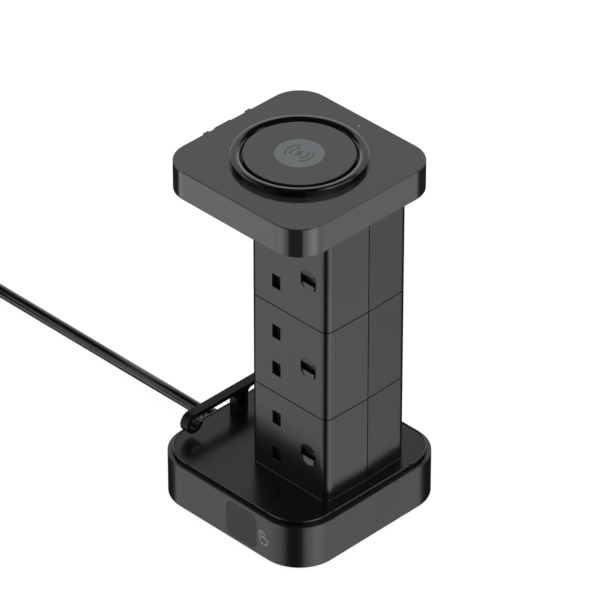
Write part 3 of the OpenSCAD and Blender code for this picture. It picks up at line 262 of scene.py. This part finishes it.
def pianoBlack(name, hexColour, rough):
    # polished black ABS: deep colour, mirror gloss, faint orange peel and wiping marks
    material, tree, shader, inMm = surfaceBase(name, hexColour, rough)
    peel = addNode(tree, "ShaderNodeTexNoise", {"Scale": 0.5, "Detail": 1.0}, Vector=inMm)   # 2 mm ripples
    relief = {"Strength": 0.05, "Distance": 0.01 * mm}
    bump = addNode(tree, "ShaderNodeBump", relief, Height=peel.outputs["Fac"])
    tree.links.new(bump.outputs["Normal"], shader.inputs["Normal"])
    wiped = addNode(tree, "ShaderNodeTexNoise", {"Scale": 0.12, "Detail": 3.0}, Vector=inMm)   # 8 mm wipes
    glossRange = {"To Min": rough * 0.6, "To Max": rough * 1.5}
    spread = addNode(tree, "ShaderNodeMapRange", glossRange, Value=wiped.outputs["Fac"])
    tree.links.new(spread.outputs["Result"], shader.inputs["Roughness"])
    return material


def softRubber(name, hexColour, rough, grain, depth, specular=0.5):
    # soft or pressed skin: fine pitting, gloss that drifts, no clear edge light
    material, tree, shader, inMm = surfaceBase(name, hexColour, rough, specular=specular)
    pits = addNode(tree, "ShaderNodeTexNoise", {"Scale": 1 / grain, "Detail": 4.0}, Vector=inMm)
    relief = {"Strength": depth, "Distance": 0.03 * mm}
    bump = addNode(tree, "ShaderNodeBump", relief, Height=pits.outputs["Fac"])
    tree.links.new(bump.outputs["Normal"], shader.inputs["Normal"])
    drift = addNode(tree, "ShaderNodeTexNoise", {"Scale": 0.06, "Detail": 2.0}, Vector=inMm)   # 17 mm patches
    glossRange = {"To Min": rough - 0.06, "To Max": rough + 0.06}
    spread = addNode(tree, "ShaderNodeMapRange", glossRange, Value=drift.outputs["Fac"])
    tree.links.new(spread.outputs["Result"], shader.inputs["Roughness"])
    return material


def rolledMetal(name, hexColour, darkHex, rough, grain):
    # rolled or plated strip: fine drawn lines along one way, a little tarnish
    material, tree, shader, inMm = surfaceBase(name, hexColour, rough, metallic=1.0)
    drawn = addNode(tree, "ShaderNodeVectorMath", {"operation": "MULTIPLY", 1: (1.0, 1.0, 0.06)}, i0=inMm)
    lines = addNode(tree, "ShaderNodeTexNoise", {"Scale": 1 / grain, "Detail": 2.0}, Vector=drawn.outputs[0])
    relief = {"Strength": 0.15, "Distance": 0.02 * mm}
    bump = addNode(tree, "ShaderNodeBump", relief, Height=lines.outputs["Fac"])
    tree.links.new(bump.outputs["Normal"], shader.inputs["Normal"])
    stain = addNode(tree, "ShaderNodeTexNoise", {"Scale": 0.2, "Detail": 5.0}, Vector=inMm)   # 5 mm stains
    colours = {"data_type": "RGBA", 6: hexToLinear(hexColour), 7: hexToLinear(darkHex)}
    mix = addNode(tree, "ShaderNodeMix", colours, Factor=stain.outputs["Fac"])
    tree.links.new(mix.outputs[2], shader.inputs["Base Color"])
    return material


def circuitBoard(name):
    # glass-epoxy board under green solder mask: gloss, with tracks showing as paler lines
    maskHex, darkHex, trackHex = "#1d5a36", "#1a5130", "#2f7d4c"
    material, tree, shader, inMm = surfaceBase(name, maskHex, 0.3)
    tracks = addNode(tree, "ShaderNodeTexBrick", {
        "Scale": 0.35, "Mortar Size": 0.06, "offset": 0.37,   # tracks about 1.5 mm apart
        "Color1": hexToLinear(maskHex), "Color2": hexToLinear(darkHex), "Mortar": hexToLinear(trackHex),
    }, Vector=inMm)
    tree.links.new(tracks.outputs["Color"], shader.inputs["Base Color"])
    relief = {"Strength": 0.2, "Distance": 0.03 * mm}
    bump = addNode(tree, "ShaderNodeBump", relief, Height=tracks.outputs["Fac"])
    tree.links.new(bump.outputs["Normal"], shader.inputs["Normal"])
    return material


def printedFilm(name, hexColour, rough):
    # screen-printed film: flat ink with a faint dot screen
    material, tree, shader, inMm = surfaceBase(name, hexColour, rough)
    # 0.5 mm dots, coarser than real ones so that they show
    dots = addNode(tree, "ShaderNodeTexVoronoi", {"Scale": 2.0}, Vector=inMm)
    ink = hexToLinear(hexColour)
    thinner = tuple(v * 0.93 for v in ink[:3]) + (1.0,)
    settings = {"data_type": "RGBA", 6: ink, 7: thinner}
    mix = addNode(tree, "ShaderNodeMix", settings, i0=dots.outputs["Distance"])
    tree.links.new(mix.outputs[2], shader.inputs["Base Color"])
    return material


finishes = {
    # each paler edge colour below is a painted highlight along the rounded edges
    # near-gloss ABS: sharp dark bands at the corners
    "headAbs": mouldedPlastic(
        "headAbs", "#222223", 0.12, 0.45, 0.05, edgeHighlightHex="#2c2c2d", edgeRadius=0.3, shine=0.015,
    ),
    # satin ABS: the same bands, soft
    "towerAbs": mouldedPlastic("towerAbs", "#0e0e0f", 0.25, 0.5, 0.2, specular=0.44, edgeHighlightHex="#1c1c1d"),
    # semi-gloss ABS: a blurred picture of the tower
    "deckAbs": mouldedPlastic("deckAbs", "#0c0c0d", 0.24, 0.5, 0.12, specular=0.26, edgeHighlightHex="#18181a"),
    # the same, with hardly any reflection
    "railAbs": mouldedPlastic("railAbs", "#151516", 0.26, 0.5, 0.15, specular=0.08, edgeHighlightHex="#1e1e1f"),
    # polished ABS and smoked acrylic: black, with clear reflections
    "gloss": pianoBlack("pianoBlackAbs", "#080809", 0.05),
    "smoked": pianoBlack("smokedPmma", "#0a0a0b", 0.09),
    # smoked window: smooth, and darker than the wall round it
    "touchWindow": mouldedPlastic("smokedTouchWindow", "#101011", 0.25, 0.6, 0.05, specular=0.23),
    # acetal: a waxy dark grey behind the windows
    "shutterPom": mouldedPlastic("shutterPom", "#2a2a2c", 0.32, 0.4, 0.2),
    # glass-filled nylon: grey, dry and rough
    "frameNylon": mouldedPlastic("glassFilledNylon", "#48484a", 0.5, 0.6, 0.5),
    # printed film and inks: flat colour
    "patchFilm": printedFilm("printedFilm", "#52585a", 0.2),
    "iconInk": printedFilm("greyInk", "#25292a", 0.2),
    "printInk": printedFilm("paleInk", "#a4a6a7", 0.5),
    # matt rubber, and smooth PVC with a long highlight along the cord
    "rubber": softRubber("softRubber", "#101011", 0.5, 0.8, 0.3),
    "cordPvc": softRubber("cordPvc", "#0a0a0b", 0.2, 0.9, 0.04, specular=0.34),
    # bare and plated metals: bright, with drawn lines
    "brass": rolledMetal("rolledBrass", "#c9a45c", "#a88443", 0.28, 0.5),
    "steel": rolledMetal("zincPlatedSteel", "#b9bbbe", "#94979b", 0.3, 0.4),
    "copper": rolledMetal("enamelledCopper", "#b9693c", "#8d4524", 0.25, 0.4),
    "board": circuitBoard("solderMaskBoard"),
    # pressed ferrite: dull dark grey with fine pits
    "ferrite": softRubber("pressedFerrite", "#39383a", 0.7, 0.5, 0.5),
}
# clear acrylic light pipe: its end reads as a pale dot
pipe, _, pipeShader, _ = surfaceBase("clearPmma", "#dfe6ea", 0.08)
pipeShader.inputs["Transmission Weight"].default_value = 0.35
finishes["pipe"] = pipe

nodeFinish = {
    "headAbs": ["head_shell", "pad_disc"],
    "towerAbs": ["base_shell", "plug_body", "head_bottom", "base_bottom"],
    "deckAbs": ["base_deck"],
    "railAbs": ["cable_rail"],
    "gloss": ["pad_ring", "switch_housing", "switch_rocker"],
    "smoked": ["light_ring"],
    "touchWindow": ["touch_panel"],
    "frameNylon": ["cord_clamp", "fuse_carrier"],
    "patchFilm": ["pad_patch"],
    "rubber": ["base_feet", "cord_tie"],
    "cordPvc": ["cord_relief"],
    "brass": ["live_bar", "neutral_bar", "earth_bar", "plug_pins"],
    "steel": ["base_screws", "clamp_screws", "rail_screw", "tower_rods", "head_screws"],
    "copper": ["charge_winding"],
    "ferrite": ["ferrite_disc"],
    "board": ["touch_board", "light_board", "supply_board", "charger_board"],
    "pipe": ["indicator_pipe"],
}
for level in ("low", "mid", "top"):
    nodeFinish["frameNylon"].append("socket_frame_" + level)
    for side in ("front", "rear"):
        nodeFinish["towerAbs"].append(f"{side}_shell_{level}")
        nodeFinish.setdefault("shutterPom", []).append(f"{side}_shutter_{level}")
        nodeFinish["steel"].append(f"{side}_spring_{level}")

for finish, names in nodeFinish.items():
    for name in names:
        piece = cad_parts[name]
        piece.data.materials.clear()
        piece.data.materials.append(finishes[finish])
cordPiece.data.materials.append(finishes["cordPvc"])
print("materials made:", len(finishes))


# printed marks

def inkMesh(name, outlines, lift, toWorld):
    # flat ink shapes with a hair of thickness; each outline is a closed list of points
    made = bmesh.new()
    for outline in outlines:
        low = [made.verts.new(toWorld(u, v, 0)) for u, v in outline]
        high = [made.verts.new(toWorld(u, v, lift)) for u, v in outline]
        made.faces.new(high)
        made.faces.new(low[::-1])
        for i in range(len(outline)):
            j = (i + 1) % len(outline)
            made.faces.new((low[i], low[j], high[j], high[i]))
    bmesh.ops.recalc_face_normals(made, faces=made.faces)
    mesh = bpy.data.meshes.new(name)
    made.to_mesh(mesh)
    made.free()
    return mesh


def stroke(points, width):
    # quads along a line, one outline each, with square joints
    quads = []
    for (ax, ay), (bx, by) in zip(points, points[1:]):
        length = math.hypot(bx - ax, by - ay)
        nx, ny = -(by - ay) / length * width / 2, (bx - ax) / length * width / 2
        quads.append([(ax + nx, ay + ny), (ax - nx, ay - ny), (bx - nx, by - ny), (bx + nx, by + ny)])
    return quads


def arcStroke(cx, cy, radius, start, end, width, steps):
    angles = [math.radians(start + (end - start) * i / steps) for i in range(steps + 1)]
    big, small = radius + width / 2, radius - width / 2
    outer = [(cx + big * math.cos(a), cy + big * math.sin(a)) for a in angles]
    inner = [(cx + small * math.cos(a), cy + small * math.sin(a)) for a in angles]
    return [[outer[i], outer[i + 1], inner[i + 1], inner[i]] for i in range(steps)]


touchMark = {
    "ring": (27.1, 14.9), "ringRadius": 1.85, "ringSteps": 28, "line": 0.42, "lift": 0.03,
    "hand": [
        (24.8, 12.0), (26.1, 11.7), (25.8, 10.5), (27.0, 9.1), (30.4, 8.9),
        (31.0, 10.1), (31.1, 12.3), (30.1, 12.9), (27.9, 12.8),
    ],
    "tip": (27.1, 14.6), "tipRadius": 0.7, "tipSteps": 10, "tipLine": 0.8,
}


def makeTouchMark():
    # a finger that taps a ring, on the front wall of the base
    wall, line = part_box("base_shell")[0][1], touchMark["line"]
    shapes = arcStroke(*touchMark["ring"], touchMark["ringRadius"], 0, 360, line, touchMark["ringSteps"])
    shapes += stroke(touchMark["hand"], line)
    tipLine = line * touchMark["tipLine"]
    shapes += arcStroke(*touchMark["tip"], touchMark["tipRadius"], 0, 180, tipLine, touchMark["tipSteps"])

    def onWall(u, v, lift):
        return (u * mm, wall - lift * mm, v * mm)

    mesh = inkMesh("touchMark", shapes, touchMark["lift"], onWall)
    return newObject("touchMark", mesh, finishes["printInk"])


chargeMark = {
    "radii": (4.35, 7.0), "line": 0.85, "spread": 45, "arcSteps": 14, "endSteps": 12, "lift": 0.02,
    "bolt": [(0.5, 3.7), (-2.1, -0.5), (-0.15, -0.35), (-0.5, -3.7), (2.1, 0.5), (0.15, 0.35)],
}


def makeChargeMark():
    # a bolt between two pairs of arcs with round ends, on the patch
    top, spread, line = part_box("pad_patch")[1][2] / mm, chargeMark["spread"], chargeMark["line"]
    around = [t * math.tau / chargeMark["endSteps"] for t in range(chargeMark["endSteps"])]
    shapes = []
    for radius in chargeMark["radii"]:
        for middle in (0, 180):
            shapes += arcStroke(0, 0, radius, middle - spread, middle + spread, line, chargeMark["arcSteps"])
            for end in (-1, 1):
                a = math.radians(middle + end * spread)
                x, y = radius * math.cos(a), radius * math.sin(a)
                shapes.append([(x + line / 2 * math.cos(t), y + line / 2 * math.sin(t)) for t in around])
    bolt = chargeMark["bolt"]
    shapes += [[bolt[0], bolt[1], bolt[2], bolt[5]], [bolt[3], bolt[4], bolt[5], bolt[2]]]

    def onPatch(u, v, lift):
        return (u * mm, v * mm, (top + lift) * mm)

    mesh = inkMesh("chargeMark", shapes, chargeMark["lift"], onPatch)
    return newObject("chargeMark", mesh, finishes["iconInk"])


makeTouchMark()
makeChargeMark()
print("marks made")


# thin trim on the base

ringBead = {
    "corner": 19.2,                    # corner radius half way through the ring's wall
    "wall": 0.7, "radius": 0.38,
    "notch": 0.9, "notchAt": 27.6,     # from the middle of each side
    "arcSteps": 14, "sides": 4,
}


def makeRingBead():
    # rounded top edge of the smoked ring, broken at its clip notches
    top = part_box("light_ring")[1][2] / mm
    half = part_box("light_ring")[1][0] / mm - ringBead["wall"] / 2
    corner, gap = ringBead["corner"], ringBead["notch"] / 2
    middle, steps = half - corner, ringBead["arcSteps"]
    bends = [math.radians(90 * i / steps) for i in range(steps + 1)]
    arc = [(middle + corner * math.cos(a), middle + corner * math.sin(a)) for a in bends]
    far, near = ringBead["notchAt"] + gap, ringBead["notchAt"] - gap
    runs = []
    for c, s in ((1, 0), (0, 1), (-1, 0), (0, -1)):   # the four quarter turns
        for flat in ([(half, far), *arc, (far, half)], [(half, -near), (half, near)]):
            runs.append([(c * x - s * y, s * x + c * y, top) for x, y in flat])
    curve = lineCurve("ringBead", runs, ringBead["radius"], sides=ringBead["sides"])
    return newObject("ringBead", curve, finishes["smoked"])


footBead = {"radius": 0.3, "proud": 0.12, "sides": 4}   # proud is how far its middle stands off the shells


def makeFootBead():
    # thin lip where the stack leaves the deck, round the outline of the low shells
    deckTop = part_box("base_deck")[1][2] / mm
    shells = [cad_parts[f"{side}_shell_low"] for side in ("front", "rear")]
    spots = [(shell.matrix_world @ v.co).to_2d() / mm for shell in shells for v in shell.data.vertices]
    outline = [spots[i] for i in convex_hull_2d(spots)]
    centre = sum(outline, Vector((0, 0))) / len(outline)
    reach = min((spot - centre).length for spot in outline)
    points = [(*(centre + (spot - centre) * (1 + footBead["proud"] / reach)), deckTop) for spot in outline]
    curve = lineCurve("footBead", [points], footBead["radius"], cyclic=True, sides=footBead["sides"])
    return newObject("footBead", curve, finishes["towerAbs"])


makeRingBead()
makeFootBead()
print("trim made")


print("cord made")


# studio

# what gloss sees of the studio: the white backdrop between dark flags, and soft boxes in front of it.
# azimuth in degrees from the camera's side, plus to its right, and height above the horizon,
# each as (from, to, softness there, softness there)
openings = {
    "left": {"azimuth": (-109, -36, 10, 4), "height": (-60, 36, 10, 24), "level": 0.9},
    "right": {"azimuth": (11, 99, 4, 14), "height": (-64, 50, 10, 8), "level": 1.0},
    "back": {"azimuth": (147, 213, 4, 4), "height": (-4, 44, 8, 4), "level": 1.0},
    "backSides": {"azimuth": (99, 251, 6, 6), "height": (-20, 30, 6, 10), "level": 0.9},
    # lights the upright faces when they are seen from the other sides
    "allRound": {"azimuth": (-200, 200, 1, 1), "height": (-21, -5, 6, 6), "level": 0.9},
}
softBoxes = {
    "left": {"azimuth": (-109, -47, 10, 30), "height": (-36, 36, 2, 24), "level": 0.9},
    "right": {"azimuth": (11, 99, 4, 14), "height": (-64, 50, 10, 8), "level": 0.48},
    "leftNear": {"azimuth": (-76, -50, 16, 24), "height": (-36, 36, 2, 24), "level": 0.6},
    # brightest half way round to the camera
    "rightNear": {"azimuth": (28, 62, 34, 22), "height": (-38, 50, 6, 8), "level": 1.9},
    # brighter near the horizon
    "back": {"azimuth": (147, 213, 6, 6), "height": (8, 24, 12, 14), "level": 0.6},
}
studio = {
    "backdrop": 1.0,       # white to the camera, and in gloss where no flag stands
    "flag": 0.02,          # what gloss sees of a dark flag
    "fill": 0.8,           # even light on everything that isn't gloss
    "overhead": 6.0,       # watts
    "overheadSize": 1.6, "overheadHeight": 1.8,
    "floorGlow": 0.93,     # the floor's own white to the camera
    "floorTrace": 0.12,    # how much of the shadow the camera sees
    "floorBounce": 0.75,
    "floorRadius": 3.0, "floorDrop": 0.0002,
}


def makeWorld():
    world = bpy.data.worlds.new("studio")
    scene.world = world
    world.use_nodes = True
    tree = world.node_tree
    tree.nodes.clear()
    direction = addNode(tree, "ShaderNodeTexCoord").outputs["Generated"]
    path = addNode(tree, "ShaderNodeLightPath").outputs

    # the direction as azimuth from the camera's side and height above the horizon, in degrees,
    # and turned, which is the azimuth from 0 to 360 for the back
    half, toDegrees = math.sqrt(0.5), 180 / math.pi
    shares = []
    for axis in ((half, half, 0), (half, -half, 0), (0, 0, 1)):   # to the right, to the camera, up
        dot = addNode(tree, "ShaderNodeVectorMath", {"operation": "DOT_PRODUCT", 1: axis}, i0=direction)
        shares.append(dot.outputs["Value"])
    around = addNode(tree, "ShaderNodeMath", {"operation": "ARCTAN2"}, i0=shares[0], i1=shares[1]).outputs[0]
    azimuth = addNode(tree, "ShaderNodeMath", {"operation": "MULTIPLY", 1: toDegrees}, i0=around).outputs[0]
    raised = addNode(tree, "ShaderNodeMath", {"operation": "ADD", 1: 360}, i0=azimuth).outputs[0]
    turned = addNode(tree, "ShaderNodeMath", {"operation": "MODULO", 1: 360}, i0=raised).outputs[0]
    slope = addNode(tree, "ShaderNodeMath", {"operation": "ARCSINE"}, i0=shares[2]).outputs[0]
    height = addNode(tree, "ShaderNodeMath", {"operation": "MULTIPLY", 1: toDegrees}, i0=slope).outputs[0]

    def band(value, low, high, lowSoft, highSoft):
        # 1 between two limits, with a soft edge at each
        edges = []
        for start, width in ((low, lowSoft), (high, highSoft)):
            limits = {"From Min": start - width / 2, "From Max": start + width / 2}
            settings = {"interpolation_type": "SMOOTHSTEP", **limits}
            edges.append(addNode(tree, "ShaderNodeMapRange", settings, Value=value).outputs["Result"])
        return addNode(tree, "ShaderNodeMath", {"operation": "SUBTRACT"}, i0=edges[0], i1=edges[1]).outputs[0]

    def patches(table, join):
        # the level in this direction, from every patch that it falls in
        total = None
        for name, patch in table.items():
            angle = turned if name.startswith("back") else azimuth
            inside, between = band(angle, *patch["azimuth"]), band(height, *patch["height"])
            both = addNode(tree, "ShaderNodeMath", {"operation": "MULTIPLY"}, i0=inside, i1=between)
            level = {"operation": "MULTIPLY", 1: patch["level"]}
            lit = addNode(tree, "ShaderNodeMath", level, i0=both.outputs[0]).outputs[0]
            if total is None:
                total = lit
            else:
                total = addNode(tree, "ShaderNodeMath", {"operation": join}, i0=total, i1=lit).outputs[0]
        return total

    # gloss and clear plastic see the backdrop through the openings, and the soft boxes;
    # everything else gets an even fill
    toCamera = path["Is Camera Ray"]
    gloss = addNode(
        tree, "ShaderNodeMath", {"operation": "ADD", "use_clamp": True},
        i0=path["Is Glossy Ray"], i1=path["Is Transmission Ray"],
    ).outputs[0]
    white = addNode(
        tree, "ShaderNodeMath", {"operation": "MULTIPLY_ADD"},
        i0=gloss, i1=patches(openings, "MAXIMUM"), i2=toCamera,
    ).outputs[0]
    flags = {"operation": "ADD", 1: studio["flag"]}
    boxes = addNode(tree, "ShaderNodeMath", flags, i0=patches(softBoxes, "ADD")).outputs[0]
    boxes = addNode(tree, "ShaderNodeMath", {"operation": "MULTIPLY"}, i0=gloss, i1=boxes).outputs[0]
    rest = addNode(tree, "ShaderNodeMath", {"operation": "SUBTRACT", 0: 1}, i1=toCamera).outputs[0]
    rest = addNode(tree, "ShaderNodeMath", {"operation": "SUBTRACT"}, i0=rest, i1=gloss).outputs[0]
    backdrop = {"operation": "MULTIPLY_ADD", 1: studio["backdrop"]}
    strength = addNode(tree, "ShaderNodeMath", backdrop, i0=white, i2=boxes).outputs[0]
    fill = {"operation": "MULTIPLY_ADD", 1: studio["fill"]}
    strength = addNode(tree, "ShaderNodeMath", fill, i0=rest, i2=strength).outputs[0]
    glow = addNode(tree, "ShaderNodeBackground", {"Color": (1, 1, 1, 1)}, Strength=strength)
    addNode(tree, "ShaderNodeOutputWorld", Surface=glow.outputs[0])


def makeFloor():
    # white to the camera with a trace of the shadow; gloss sees the backdrop and the flags through it
    mesh = bpy.data.meshes.new("floor")
    made = bmesh.new()
    bmesh.ops.create_circle(made, cap_ends=True, segments=96, radius=studio["floorRadius"])
    made.to_mesh(mesh)
    made.free()
    floor = bpy.data.objects.new("floor", mesh)
    scene.collection.objects.link(floor)
    floor.location.z = -studio["floorDrop"]
    material = bpy.data.materials.new("paleFloor")
    material.use_nodes = True
    tree = material.node_tree
    tree.nodes.clear()
    path = addNode(tree, "ShaderNodeLightPath").outputs
    bounce = addNode(tree, "ShaderNodeBsdfDiffuse", {"Color": (*[studio["floorBounce"]] * 3, 1)}).outputs[0]
    trace = addNode(tree, "ShaderNodeBsdfDiffuse", {"Color": (*[studio["floorTrace"]] * 3, 1)}).outputs[0]
    white = {"Color": (1, 1, 1, 1), "Strength": studio["floorGlow"]}
    glow = addNode(tree, "ShaderNodeEmission", white).outputs[0]
    clear = addNode(tree, "ShaderNodeBsdfTransparent").outputs[0]
    seen = addNode(tree, "ShaderNodeAddShader", i0=trace, i1=glow).outputs[0]
    solid = addNode(tree, "ShaderNodeMixShader", i0=path["Is Camera Ray"], i1=bounce, i2=seen).outputs[0]
    gloss = addNode(
        tree, "ShaderNodeMath", {"operation": "ADD", "use_clamp": True},
        i0=path["Is Glossy Ray"], i1=path["Is Transmission Ray"],
    ).outputs[0]
    floorShader = addNode(tree, "ShaderNodeMixShader", i0=gloss, i1=solid, i2=clear)
    addNode(tree, "ShaderNodeOutputMaterial", Surface=floorShader.outputs[0])
    mesh.materials.append(material)


def makeOverhead():
    # one soft lamp above, for the plain level on upward faces
    data = bpy.data.lights.new("overhead", "AREA")
    data.shape, data.size, data.energy = "DISK", studio["overheadSize"], studio["overhead"]
    lamp = bpy.data.objects.new("overhead", data)
    lamp.location.z = studio["overheadHeight"]
    lamp.visible_glossy = False
    lamp.visible_camera = False
    scene.collection.objects.link(lamp)


makeWorld()
makeFloor()
makeOverhead()
print("studio made")
